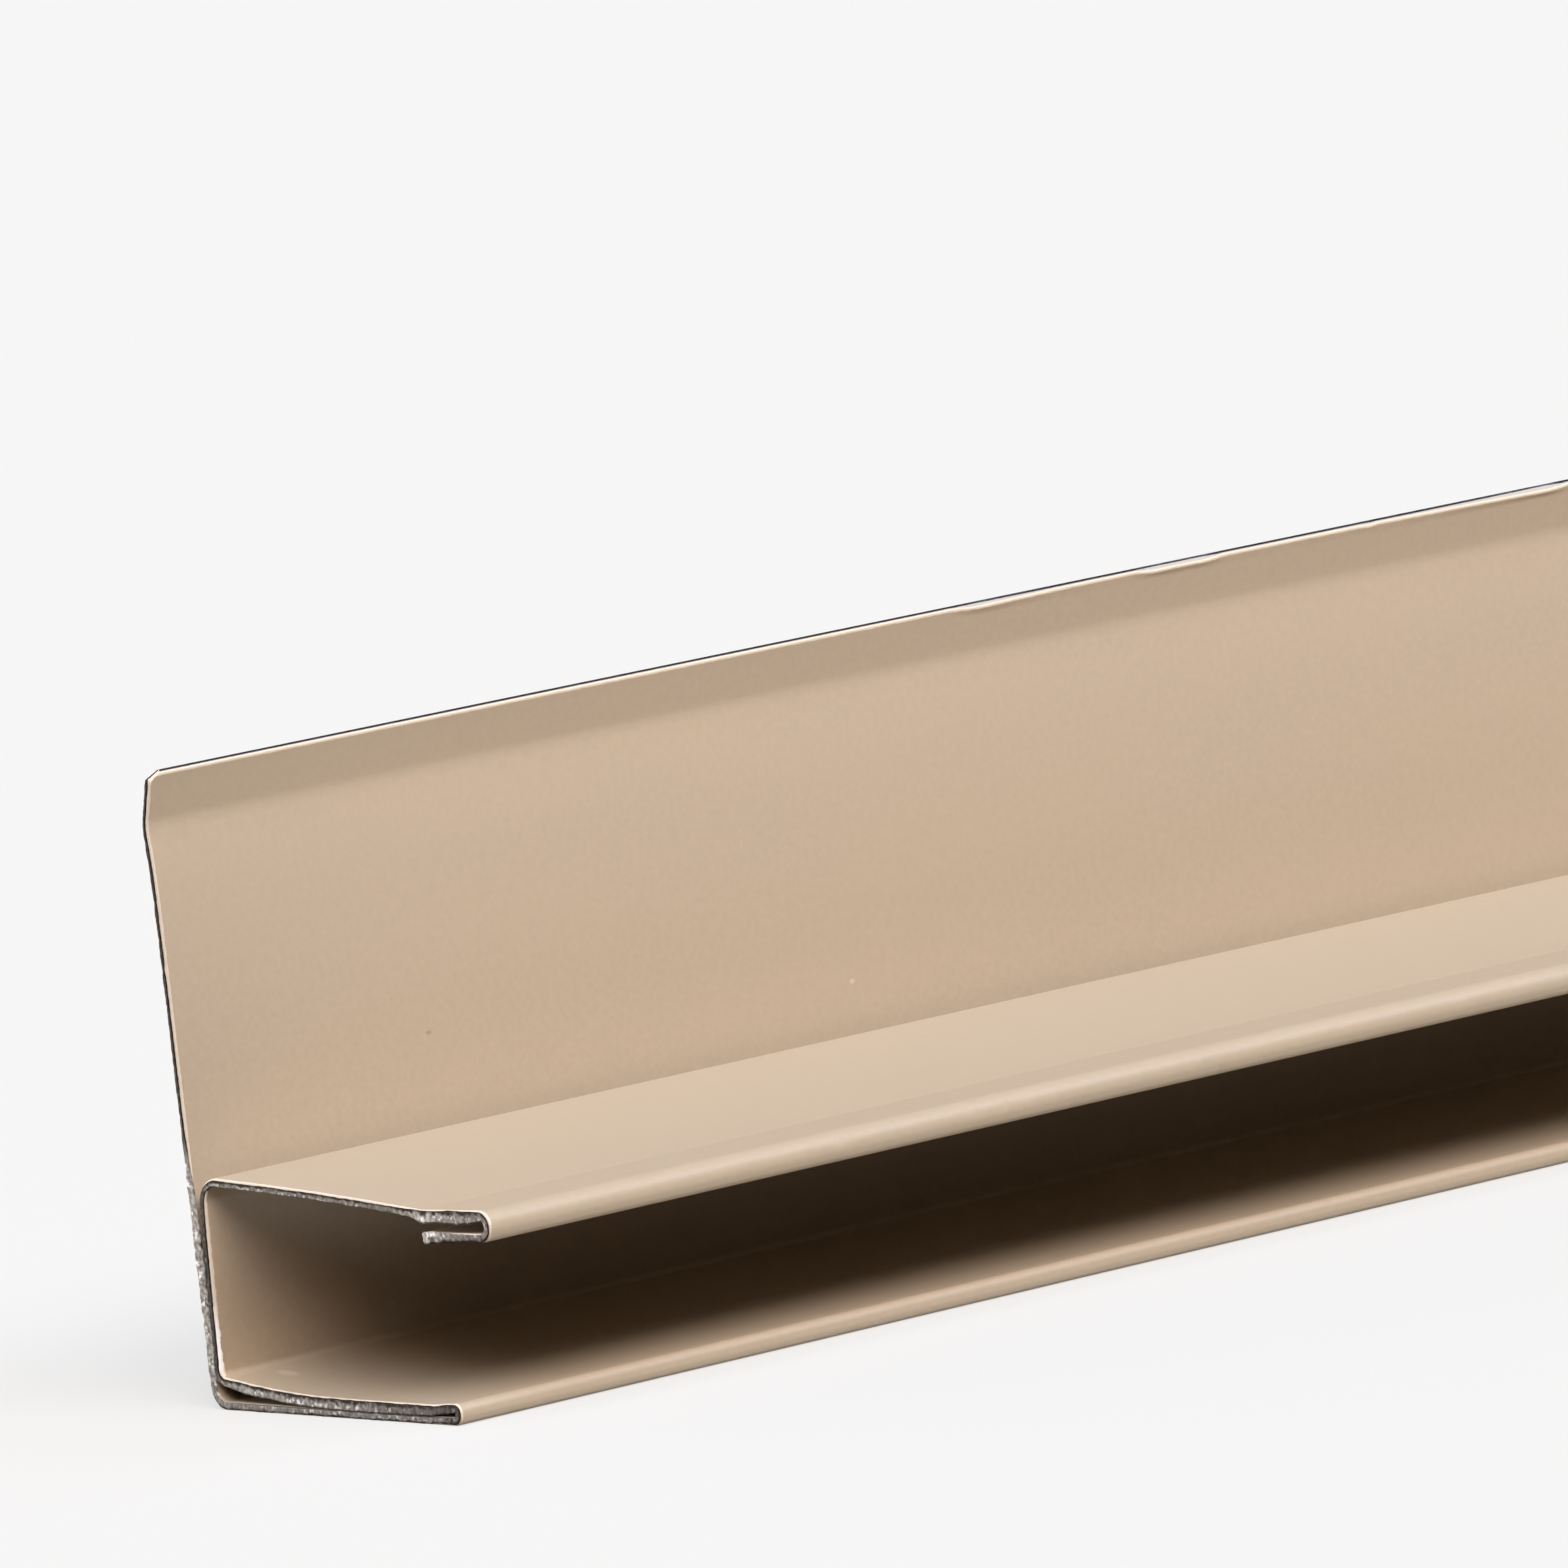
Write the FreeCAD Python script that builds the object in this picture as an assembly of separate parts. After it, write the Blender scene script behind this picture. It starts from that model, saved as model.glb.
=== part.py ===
import FreeCAD, Part
import math
import os

# F-channel trim: one strip of prefinished aluminium coil, folded along its length into an F.
# A tall nailing flange stands at the back, and a forward pocket takes the edge of a soffit or
# siding panel. Millimetres, +X along the stock, the pocket opens to -Y, +Z up, and the origin
# is at the middle of the length and depth, on the face that the trim rests on.

# Stock
stock_length = 3048.0
sheet = 0.50
snip_along = 0.95
snip_down = 0.50

# Nailing flange and its free edge
overall_height = 38.1
kick_strip = 2.85
kick_lean = 17.0
kick_radius = 2.6
back_lean = 5.5
back_lean_band = 5.0

# Bottom leg, two layers of sheet
heel_radius = 0.70
bottom_leg_depth = 23.4
fold_eye = 0.30
eye_length = 2.6
pressed_gap = 0.16
rise_start = 12.5
rise_angle = 8.0

# Web, the second upright layer in front of the flange
web_foot_radius = 0.40
web_gap = 0.05
web_lean = 2.4

# Top leg and its open hem
channel_height = 13.88
crown_radius = 1.10
leg_start_slope = 2.0
leg_end_slope = 5.0
hem_start = 21.7
hem_start_radius = 1.5
hem_rise = 1.5
top_leg_depth = 28.1
nose_eye = 0.88
lip_slope = 0.8
lip_length = 5.4


class FoldedStrip:
    """A strip of sheet seen end on, drawn fold by fold as its middle line goes along.

    Places are (forward, up) pairs. The heading is in degrees, 0 forward and 90 up.
    """

    def __init__(self, thickness, heading):
        self.half = thickness / 2
        self.forward = 0.0
        self.up = 0.0
        self.heading = heading
        self.left_edges = []
        self.right_edges = []

    def beside(self, offset, heading):
        """The place at this distance to the left of the middle line."""
        turn = math.radians(heading)
        return section_point(self.forward - offset * math.sin(turn), self.up + offset * math.cos(turn))

    def straight(self, length):
        starts = [self.beside(side, self.heading) for side in (self.half, -self.half)]
        self.forward += length * math.cos(math.radians(self.heading))
        self.up += length * math.sin(math.radians(self.heading))
        ends = [self.beside(side, self.heading) for side in (self.half, -self.half)]
        self.left_edges.append(Part.LineSegment(starts[0], ends[0]).toShape())
        self.right_edges.append(Part.LineSegment(starts[1], ends[1]).toShape())

    def straight_to_forward(self, forward):
        self.straight((forward - self.forward) / math.cos(math.radians(self.heading)))

    def straight_to_up(self, up):
        self.straight((up - self.up) / math.sin(math.radians(self.heading)))

    def bend(self, radius, degrees):
        """Turns the middle line on this radius, to the left where degrees is above zero."""
        side = math.copysign(1, degrees)
        turn = math.radians(self.heading)
        centre_forward = self.forward - side * radius * math.sin(turn)
        centre_up = self.up + side * radius * math.cos(turn)
        sides = (self.half, -self.half)
        paths = [[self.beside(offset, self.heading)] for offset in sides]
        for share in (0.5, 1.0):
            heading = self.heading + share * degrees
            spoke = math.radians(heading - side * 90)
            self.forward = centre_forward + radius * math.cos(spoke)
            self.up = centre_up + radius * math.sin(spoke)
            for path, offset in zip(paths, sides):
                path.append(self.beside(offset, heading))
        self.heading += degrees
        self.left_edges.append(Part.Arc(*paths[0]).toShape())
        self.right_edges.append(Part.Arc(*paths[1]).toShape())

    def bend_to(self, radius, heading):
        self.bend(radius, heading - self.heading)

    def outline(self):
        """Both faces of the sheet, closed across its two slit edges."""
        first = (self.right_edges[0].Vertexes[0].Point, self.left_edges[0].Vertexes[0].Point)
        last = (self.left_edges[-1].Vertexes[-1].Point, self.right_edges[-1].Vertexes[-1].Point)
        caps = [Part.LineSegment(*ends).toShape() for ends in (first, last)]
        return Part.Wire(Part.__sortEdges__(self.left_edges + self.right_edges + caps))


def section_point(forward, up):
    """A place in the section, at the near end of the stock."""
    return FreeCAD.Vector(-stock_length / 2, -forward, up)


def draw_flange(strip):
    """From the free top edge down to the heel. Gives the flange's back face and the floor."""
    top_corner = strip.up + strip.half * math.sin(math.radians(kick_lean))
    strip.straight(kick_strip)
    strip.bend_to(kick_radius, -90 + back_lean)
    strip.bend_to(back_lean_band / math.sin(math.radians(back_lean)), -90)
    flange_back = strip.forward - strip.half
    floor = top_corner - overall_height
    heel = heel_radius + strip.half
    strip.straight_to_up(floor + strip.half + heel)
    strip.bend_to(heel, 0)
    return flange_back, floor


def draw_bottom_leg(strip, flange_back):
    """Forward along the outer layer, round the pressed fold, and back along the inner layer."""
    fold = (sheet + fold_eye) / 2
    strip.straight_to_forward(flange_back + bottom_leg_depth - strip.half - fold)
    strip.bend_to(fold, 180)
    settle = 2 * math.atan((fold_eye - pressed_gap) / eye_length)
    settle_radius = eye_length / (2 * math.sin(settle))
    strip.bend(settle_radius, math.degrees(settle))
    strip.bend_to(settle_radius, 180)
    strip.straight_to_forward(flange_back + rise_start)


def draw_web(strip, flange_back, floor):
    """The inner layer lifts off towards the heel and turns up in front of the flange."""
    foot = web_foot_radius + strip.half
    rise = math.radians(rise_angle)
    foot_centre = flange_back + sheet + web_gap + strip.half + foot
    rise_run = strip.forward - (foot_centre - foot * math.sin(rise))
    strip.bend(rise_run / math.sin(rise), -rise_angle)
    strip.bend_to(foot, 90 - web_lean)
    crown = crown_radius + strip.half
    crown_centre = floor + channel_height - strip.half - crown
    strip.straight_to_up(crown_centre + crown * math.sin(math.radians(web_lean)))
    strip.bend_to(crown, -leg_start_slope)


def draw_top_leg(strip, flange_back):
    """Forward over the pocket in a shallow bow, and back under itself as an open hem."""
    slopes = [math.sin(math.radians(slope)) for slope in (leg_start_slope, leg_end_slope)]
    bow_run = flange_back + hem_start - strip.forward
    strip.bend_to(bow_run / (slopes[1] - slopes[0]), -leg_end_slope)
    strip.bend_to(hem_start_radius + strip.half, hem_rise)
    nose = (sheet + nose_eye) / 2
    nose_centre = flange_back + top_leg_depth - strip.half - nose
    strip.straight_to_forward(nose_centre - nose * math.sin(math.radians(hem_rise)))
    strip.bend_to(nose, -180 + lip_slope)
    strip.straight(lip_length)


def snipped_corner(trim):
    """The little triangle clipped off the flange's top corner at the near end."""
    box = trim.BoundBox
    corner = FreeCAD.Vector(box.XMin, box.YMin, box.ZMax)
    along = corner + FreeCAD.Vector(snip_along, 0, 0)
    down = corner - FreeCAD.Vector(0, 0, snip_down)
    triangle = Part.Face(Part.makePolygon([corner, along, down, corner]))
    return triangle.extrude(FreeCAD.Vector(0, box.YLength, 0))


def make_trim():
    strip = FoldedStrip(sheet, -90 - kick_lean)
    flange_back, floor = draw_flange(strip)
    draw_bottom_leg(strip, flange_back)
    draw_web(strip, flange_back, floor)
    draw_top_leg(strip, flange_back)
    trim = Part.Face(strip.outline()).extrude(FreeCAD.Vector(stock_length, 0, 0))
    trim = trim.cut(snipped_corner(trim))
    box = trim.BoundBox
    trim.translate(FreeCAD.Vector(-box.Center.x, -box.Center.y, -box.ZMin))
    return trim


os.makedirs("parts", exist_ok=True)
f_channel = make_trim()
f_channel.exportStep("parts/f_channel.step")
print("f_channel: valid", f_channel.isValid(), "solids", len(f_channel.Solids))
print("size mm:", [round(side, 3) for side in (f_channel.BoundBox.XLength, f_channel.BoundBox.YLength,
                                               f_channel.BoundBox.ZLength)])
print("volume mm3:", round(f_channel.Volume, 1), "faces", len(f_channel.Faces))
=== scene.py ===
# %% [markdown]
# F-channel trim, dressed for rendering.
# The real object is one strip of coil-coated aluminium, folded along its length into an F: a tall nailing
# flange, a bottom leg of two pressed layers, a web, and a top leg that ends in an open hem. Everything one
# sees is the same thin sheet, so the look comes from three places: the satin paint on its broad faces, the
# narrow slit edges along its length, and the rough sheared metal at its two ends.

import math

import bpy
import numpy as np
from mathutils import Matrix, Vector


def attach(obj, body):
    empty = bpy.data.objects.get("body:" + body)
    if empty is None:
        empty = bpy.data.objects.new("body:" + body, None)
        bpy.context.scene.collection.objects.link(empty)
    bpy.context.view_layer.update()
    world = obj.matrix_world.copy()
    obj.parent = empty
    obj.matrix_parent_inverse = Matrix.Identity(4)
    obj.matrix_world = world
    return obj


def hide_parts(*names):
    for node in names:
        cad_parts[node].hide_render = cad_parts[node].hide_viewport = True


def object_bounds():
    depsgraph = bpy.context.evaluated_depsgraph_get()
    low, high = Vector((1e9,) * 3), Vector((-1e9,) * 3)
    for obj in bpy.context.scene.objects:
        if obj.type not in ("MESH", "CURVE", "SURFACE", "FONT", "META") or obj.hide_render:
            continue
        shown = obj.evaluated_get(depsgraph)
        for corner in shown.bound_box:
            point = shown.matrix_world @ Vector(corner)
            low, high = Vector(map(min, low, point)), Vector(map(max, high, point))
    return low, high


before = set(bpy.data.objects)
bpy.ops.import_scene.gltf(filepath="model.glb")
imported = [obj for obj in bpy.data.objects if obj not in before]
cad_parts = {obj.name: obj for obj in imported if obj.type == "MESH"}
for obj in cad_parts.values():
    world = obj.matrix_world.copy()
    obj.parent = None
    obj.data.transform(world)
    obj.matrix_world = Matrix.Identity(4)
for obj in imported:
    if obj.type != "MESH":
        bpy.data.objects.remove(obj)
frame_low, frame_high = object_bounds()
MM = 0.001
print("frame box in mm", [round(side / MM, 2) for side in frame_high - frame_low])

# %% [markdown]
# Two small helpers serve the whole file. Paint colours are easiest to choose as the hex values that a colour
# card gives, but a renderer works in linear light, so the first helper turns one into the other. The second
# adds a node, for materials, shapes and the studio alike. A node can be handed straight to the next one,
# which then reads its first output, so a tree is written in the order in which it works.


# %% Helpers for colours and nodes
def linear(hex_colour):
    """An sRGB hex value as linear red, green, blue and alpha."""
    shares = [int(hex_colour[at:at + 2], 16) / 255 for at in (1, 3, 5)]
    light = [share / 12.92 if share <= 0.04045 else ((share + 0.055) / 1.055) ** 2.4 for share in shares]
    return light + [1.0]


def add_node(tree, kind, inputs=(), **settings):
    """Adds one node. Each of its inputs takes a plain value, a node's first output or a socket."""
    made = tree.nodes.new(kind)
    for name, value in settings.items():
        setattr(made, name, value)
    for key, value in dict(inputs).items():
        source = value.outputs[0] if isinstance(value, bpy.types.Node) else value
        if isinstance(source, bpy.types.NodeSocket):
            tree.links.new(source, made.inputs[key])
        else:
            made.inputs[key].default_value = source
    return made


print("tan paint in linear light", [round(share, 3) for share in linear("#AE9E87")])

# %% [markdown]
# The section follows a rule: a flat blank is folded at known distances by known angles. So it is written as
# the folds a press brake would make, in order, from the free top edge to the lip of the hem, and the middle
# line of the sheet is walked like a turtle. A bend gets a point for every few degrees, and each flat gets a
# point just inside its two ends, so that the flats stay flat when the surface is shaded smooth.

# %% Sizes of the section in millimetres and degrees
sheet = 0.50

kick_strip = 2.85
kick_lean = 17.0
kick_radius = 2.6
back_lean = 5.5
back_lean_band = 5.0

heel_radius = 0.70
bottom_leg_depth = 23.4
fold_eye = 0.30
eye_length = 2.6
pressed_gap = 0.16
rise_start = 12.5
rise_angle = 8.0

web_foot_radius = 0.40
web_gap = 0.05
web_lean = 2.4

channel_height = 13.88
crown_radius = 1.10
leg_start_slope = 2.0
leg_end_slope = 5.0
hem_start = 21.7
hem_start_radius = 1.5
hem_rise = 1.5
top_leg_depth = 28.1
nose_eye = 0.88
lip_slope = 0.8
lip_length = 5.4

half = sheet / 2
overall_height = (frame_high.z - frame_low.z) / MM
stock_length = (frame_high.x - frame_low.x) / MM
print("stock length mm", round(stock_length, 1), "overall height mm", round(overall_height, 2))


# %% Walk the middle line of the sheet
def sine(degrees):
    return math.sin(math.radians(degrees))


class FoldLine:
    """The sheet's middle line as seen from the near end, where heading 0 is forward and 90 is up."""

    degrees_a_step = 9.0
    fewest_steps = 4
    edge_support = 0.25

    def __init__(self, heading):
        self.forward = self.up = self.travelled = 0.0
        self.heading = heading
        self.stations = []
        self.mark()

    def mark(self):
        """Notes a station: its place, its heading and how far along the blank it is."""
        self.stations.append((self.forward, self.up, self.heading, self.travelled))

    def advance(self, length):
        self.forward += length * math.cos(math.radians(self.heading))
        self.up += length * sine(self.heading)
        self.travelled += length
        self.mark()

    def straight(self, length):
        for part in (self.edge_support, length - 2 * self.edge_support, self.edge_support):
            self.advance(part)

    def straight_to_forward(self, forward):
        self.straight((forward - self.forward) / math.cos(math.radians(self.heading)))

    def straight_to_up(self, up):
        self.straight((up - self.up) / sine(self.heading))

    def bend_to(self, radius, heading):
        """Turns on this radius, to the left where the heading grows."""
        steps = max(self.fewest_steps, math.ceil(abs(heading - self.heading) / self.degrees_a_step))
        turn = (heading - self.heading) / steps
        chord = 2 * radius * sine(abs(turn) / 2)
        for _ in range(steps):
            self.forward += chord * math.cos(math.radians(self.heading + turn / 2))
            self.up += chord * sine(self.heading + turn / 2)
            self.travelled += radius * math.radians(abs(turn))
            self.heading += turn
            self.mark()


# %% Fold the flange
line = FoldLine(-90 - kick_lean)
top_corner = half * sine(kick_lean)
close = line.edge_support
for part in (close, close, close, kick_strip - 4 * close, close):   # close together at the snipped corner
    line.advance(part)
line.bend_to(kick_radius, -90 + back_lean)
line.bend_to(back_lean_band / sine(back_lean), -90)
flange_back = line.forward - half
floor_level = top_corner - overall_height
line.straight_to_up(floor_level + 2 * half + heel_radius)
line.bend_to(heel_radius + half, 0)
heel_at = line.travelled
print("flange and heel take", round(heel_at, 2), "mm of the blank")

# %% Fold the bottom leg, out along its outer layer and back along its inner one
fold = (sheet + fold_eye) / 2
lower_bend = 0.43
upper_bend = 0.29
settle = 2 * math.degrees(math.atan((fold_eye - pressed_gap) / eye_length))
settle_radius = eye_length / (2 * sine(settle))
line.straight_to_forward(flange_back + bottom_leg_depth - half - lower_bend)
line.bend_to(lower_bend, 90)
line.advance(2 * fold - lower_bend - upper_bend)
line.bend_to(upper_bend, 180)
line.bend_to(settle_radius, 180 + settle)
line.bend_to(settle_radius, 180)
pressed_at = line.travelled
line.straight_to_forward(flange_back + rise_start)
print("the bottom leg's fold ends at", round(pressed_at, 2), "mm of the blank")

# %% Fold the web, which lifts off just in front of the flange
foot = web_foot_radius + half
foot_centre = flange_back + sheet + web_gap + half + foot
rise_run = line.forward - (foot_centre - foot * sine(rise_angle))
crown = crown_radius + half
crown_centre = floor_level + channel_height - half - crown
line.bend_to(rise_run / sine(rise_angle), 180 - rise_angle)
line.bend_to(foot, 90 - web_lean)
web_at = line.travelled
line.straight_to_up(crown_centre + crown * sine(web_lean))
line.bend_to(crown, -leg_start_slope)
crown_at = line.travelled
print("web from", round(web_at, 2), "to", round(crown_at, 2), "mm of the blank")

# %% Fold the top leg in a shallow bow, with its open hem and return lip
bow_run = flange_back + hem_start - line.forward
nose = (sheet + nose_eye) / 2
line.bend_to(bow_run / (sine(leg_end_slope) - sine(leg_start_slope)), -leg_end_slope)
line.bend_to(hem_start_radius + half, hem_rise)
hem_at = line.travelled
line.straight_to_forward(flange_back + top_leg_depth - half - nose - nose * sine(hem_rise))
line.bend_to(nose, -180 + lip_slope)
lip_at = line.travelled
line.straight(lip_length)
blank_width = line.travelled
print("stations", len(line.stations), "flat width of the blank in mm", round(blank_width, 2))

# %% [markdown]
# Every cut edge of the sheet has a rolled rim, where the blade drew the paint over before the metal parted.
# Across the blank that rim gives extra stations just inside the two slit edges. Along the stock it gives
# extra rings just inside the two sheared ends, and there the first stretch also has close rings, to carry
# small dents. Past it the stock is plain, so the rings spread out and the mesh stays light.

# %% Round the rims in both directions
rim_radius = 0.09
rim_steps = 3
rim_turns = [90 * step / rim_steps for step in range(rim_steps + 1)]
rim = [(rim_radius * (1 - math.cos(math.radians(turn))), 1 - (1 - sine(turn)) * rim_radius / half)
       for turn in rim_turns]


def with_rims(places, length):
    """Places from 0 to length with the rolled rim at both ends, each with its share of the thickness."""
    inner = [(place, 1.0) for place in places if rim_radius < place < length - rim_radius]
    return rim + inner + [(length - place, share) for place, share in reversed(rim)]


fine_stretch = 116.0
fine_spacing = 0.8
spacing_growth = 1.18
widest_spacing = 60.0
first_ring = 0.3

# scuffs on the hem's nose: along the stock, length, height above its lowest line, and depth, all in mm
nose_scuffs = ((26.9, 0.60, 1.30, 0.05), (37.1, 0.30, 1.25, 0.05), (39.6, 0.22, 1.20, 0.07),
               (44.8, 0.25, 0.30, 0.05), (56.4, 0.22, 0.35, 0.05))

ring_places = [first_ring]
spacing = fine_spacing
while ring_places[-1] + 1.5 * spacing < stock_length:   # the last gap is at least half a spacing
    ring_places.append(ring_places[-1] + spacing)
    if ring_places[-1] > fine_stretch:
        spacing = min(spacing * spacing_growth, widest_spacing)
for along, length, _, _ in nose_scuffs:
    ring_places += [along + length * step for step in (-1.5, -0.75, 0.0, 0.75, 1.5)]
ring_places = sorted({round(place, 2) for place in ring_places})
rings = with_rims(ring_places + [stock_length - first_ring], stock_length)
print("rings", len(rings), "from", round(rings[0][0], 3), "to", round(rings[-1][0], 3))


# %% Turn the stations into points of the frame
def between(travelled):
    """Forward, up and heading of the middle line at this distance along the blank."""
    table = np.array(line.stations)
    return [float(np.interp(travelled, table[:, 3], table[:, column])) for column in range(3)]


def right_of(heading):
    """Forward and up parts of the direction out of the sheet's right face."""
    return math.cos(math.radians(heading - 90)), sine(heading - 90)


faces = [(forward + side * half * right_of(heading)[0], up + side * half * right_of(heading)[1])
         for forward, up, heading, _ in line.stations for side in (1, -1)]
furthest_back = min(forward for forward, _ in faces)
lowest = min(up for _, up in faces)


def folded_points(distances):
    """For distances along the blank: places on the middle line, and directions of the right face."""
    places, directions = [], []
    for distance in distances:
        forward, up, heading = between(distance)
        places.append((0.0, frame_high.y - (forward - furthest_back) * MM, frame_low.z + (up - lowest) * MM))
        directions.append((0.0, -right_of(heading)[0], right_of(heading)[1]))
    return places, np.array(directions)


distances, shares = zip(*with_rims([station[3] for station in line.stations], blank_width))
fold_points, right_faces = folded_points(distances)
print("section spans in mm", round(max(forward for forward, _ in faces) - furthest_back, 3),
      round(max(up for _, up in faces) - lowest, 3))


# %% [markdown]
# A node tree can't read a Python list, but it can read a mesh. So the two rules go in as loose helper meshes:
# one vertex a station, or one a ring, with the numbers that belong to it as named attributes. They leave the
# scene again once the sheet is folded.


# %% Store both rules as helper meshes
def rule_object(name, points, numbers):
    """Loose vertices in the order of the rule, with named numbers or directions."""
    mesh = bpy.data.meshes.new(name)
    mesh.from_pydata(points, [], [])
    for title, values in numbers.items():
        kind, key = ("FLOAT_VECTOR", "vector") if np.ndim(values) == 2 else ("FLOAT", "value")
        mesh.attributes.new(title, kind, "POINT").data.foreach_set(key, np.ravel(values).astype(np.float32))
    made = bpy.data.objects.new(name, mesh)
    bpy.context.scene.collection.objects.link(made)
    return made


# from each place on: the face that the blade met first (-1 left, 1 right), and how much primer shows, in mm
blade_marks = (
    (0.0, -1, 0.06), (heel_at - 1.0, 1, 0.06), (pressed_at - 3.5, 1, 0.13), (web_at - 0.6, 1, 0.26),
    (web_at + 3.0, 1, 0.15), (crown_at - 1.1, -1, 0.14), (crown_at + 2.0, -1, 0.09), (hem_at, -1, 0.13),
    (lip_at, 1, 0.10))
starts, blade_face, primer = (np.array(column) for column in zip(*blade_marks))
mark = np.searchsorted(starts, distances, side="right") - 1
fold_rule = rule_object("fold_rule", fold_points, {
    "right face": right_faces, "share": np.array(shares), "along blank": np.array(distances),
    "primer": blade_face[mark] * primer[mark]})   # its sign says on which face the primer shows
ring_rule = rule_object("ring_rule", [(frame_low.x + place * MM, 0.0, 0.0) for place, _ in rings], {
    "share": np.array([share for _, share in rings]),
    "from sheared end": np.array([min(place, stock_length - place) for place, _ in rings])})
print("helper meshes", fold_rule.name, len(fold_points), ring_rule.name, len(rings))

# %% [markdown]
# Paint. The strip is coil-coated aluminium: a tan polyester paint baked on before the sheet was folded. It is
# satin, so it gives the eye a soft, wide highlight on every bend and no mirror image. Under a lens the film
# has a slight orange peel, about a third of a millimetre across, and a faint mottle in its colour. A painted
# picture could hold all this, but noise sized in millimetres has no seam and never runs out along the stock.
# Two kinds of node come back all the time. Map Range takes a value, the range that it comes from and the
# range that it goes to as its inputs 0 to 4. Mix takes a share and two colours as its inputs 0, 6 and 7, and
# gives the blended colour as its output 2.


# %% Start a finish
smoothly = {"interpolation_type": "SMOOTHSTEP"}
in_colour = {"data_type": "RGBA"}


def new_finish(name):
    """A material with its tree, its output and a texture coordinate, ready for its finish."""
    made = bpy.data.materials.new(name)
    made.use_nodes = True
    made.node_tree.nodes.clear()
    output = add_node(made.node_tree, "ShaderNodeOutputMaterial")
    place = add_node(made.node_tree, "ShaderNodeTexCoord").outputs["Object"]
    return made, made.node_tree, output, place


def noise_of_size(tree, place, millimetres, detail=2.0, stretch=1.0):
    """Noise whose blotches are about this many millimetres across, drawn out along the stock by stretch."""
    scaled = add_node(tree, "ShaderNodeVectorMath", {
        0: place, 1: (1 / stretch, 1.0, 1.0)}, operation="MULTIPLY")
    return add_node(tree, "ShaderNodeTexNoise", {
        "Vector": scaled, "Scale": 1 / (millimetres * MM), "Detail": detail})


print("finish helpers ready")

# %% Satin coil coat, first its mottled tan
paint, tree, output, place = new_finish("satin_coil_coat")
mottle = noise_of_size(tree, place, 0.45, detail=3.0)
drift = noise_of_size(tree, place, 9.0, stretch=3.0)
tone = add_node(tree, "ShaderNodeMix", {
    0: mottle, 6: linear("#A59682"), 7: linear("#B2A28D")}, **in_colour).outputs[2]
drifted = add_node(tree, "ShaderNodeMapRange", {0: drift, 1: 0.3, 2: 0.7, 4: 0.35}, **smoothly)
tone = add_node(tree, "ShaderNodeMix", {0: drifted, 6: tone, 7: linear("#AE9E87")}, **in_colour).outputs[2]
print(paint.name, "nodes for the tan", len(tree.nodes))

# %% [markdown]
# Along the cuts. The shear's blade tore the film back on the face that it met first, so a thin cream line of
# primer runs there; low on the web it is painted white, a painted highlight. On the other face no more than a
# dark hair of painted shade runs along the cut.
# The slitting knife left a narrow line of primer along the top edge too. Separate strips of mesh could carry
# these lines, but they are ragged and only a tenth of a millimetre wide, so the paint reads its distance from
# each cut instead.

# %% Torn primer along the cuts, with a painted highlight and a painted shade line
thinnest_line = 0.03
slit_line = 0.22
solid_share = 0.55
from_shear, from_top, primer_width = (
    add_node(tree, "ShaderNodeAttribute", attribute_name=title).outputs["Fac"]
    for title in ("from sheared end", "along blank", "primer width"))
tear = noise_of_size(tree, place, 0.5, detail=3.0)

# painted highlight: low on the web the cream primer line is painted pure white
rising = add_node(tree, "ShaderNodeMapRange", {0: from_top, 1: web_at - 0.5, 2: web_at + 0.3}, **smoothly)
falling = add_node(tree, "ShaderNodeMapRange", {0: from_top, 1: web_at + 4.5, 2: web_at + 1.5}, **smoothly)
highlight_low_on_web = add_node(tree, "ShaderNodeMath", {0: rising, 1: falling}, operation="MULTIPLY")
line_tone = add_node(tree, "ShaderNodeMix", {
    0: highlight_low_on_web, 6: linear("#D8CAB9"), 7: linear("#FFFFFF")}, **in_colour).outputs[2]
# painted shade: where no primer shows, the line along the cut is a dark hair
has_primer = add_node(tree, "ShaderNodeMapRange", {0: primer_width, 2: thinnest_line}, **smoothly)
line_tone = add_node(tree, "ShaderNodeMix", {
    0: has_primer, 6: linear("#2E2722"), 7: line_tone}, **in_colour).outputs[2]

ragged = add_node(tree, "ShaderNodeMapRange", {0: tear, 1: 0.3, 2: 0.7, 3: 0.7, 4: 1.3}, **smoothly)
line_end = add_node(tree, "ShaderNodeMath", {
    0: primer_width, 1: ragged, 2: thinnest_line}, operation="MULTIPLY_ADD")
line_fade = add_node(tree, "ShaderNodeMath", {0: line_end, 1: solid_share}, operation="MULTIPLY")
past_line = add_node(tree, "ShaderNodeMapRange", {0: from_shear, 1: line_fade, 2: line_end}, **smoothly)
tone = add_node(tree, "ShaderNodeMix", {0: past_line, 6: line_tone, 7: tone}, **in_colour).outputs[2]

slit_fade = add_node(tree, "ShaderNodeMapRange", {0: tear, 1: 0.3, 2: 0.75, 3: 0.10, 4: 0.18}, **smoothly)
past_slit = add_node(tree, "ShaderNodeMapRange", {0: from_top, 1: slit_fade, 2: slit_line}, **smoothly)
tone = add_node(tree, "ShaderNodeMix", {0: past_slit, 6: linear("#D6C9B9"), 7: tone}, **in_colour).outputs[2]
print("line of primer along the slit edge", slit_line, "mm wide")

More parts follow.
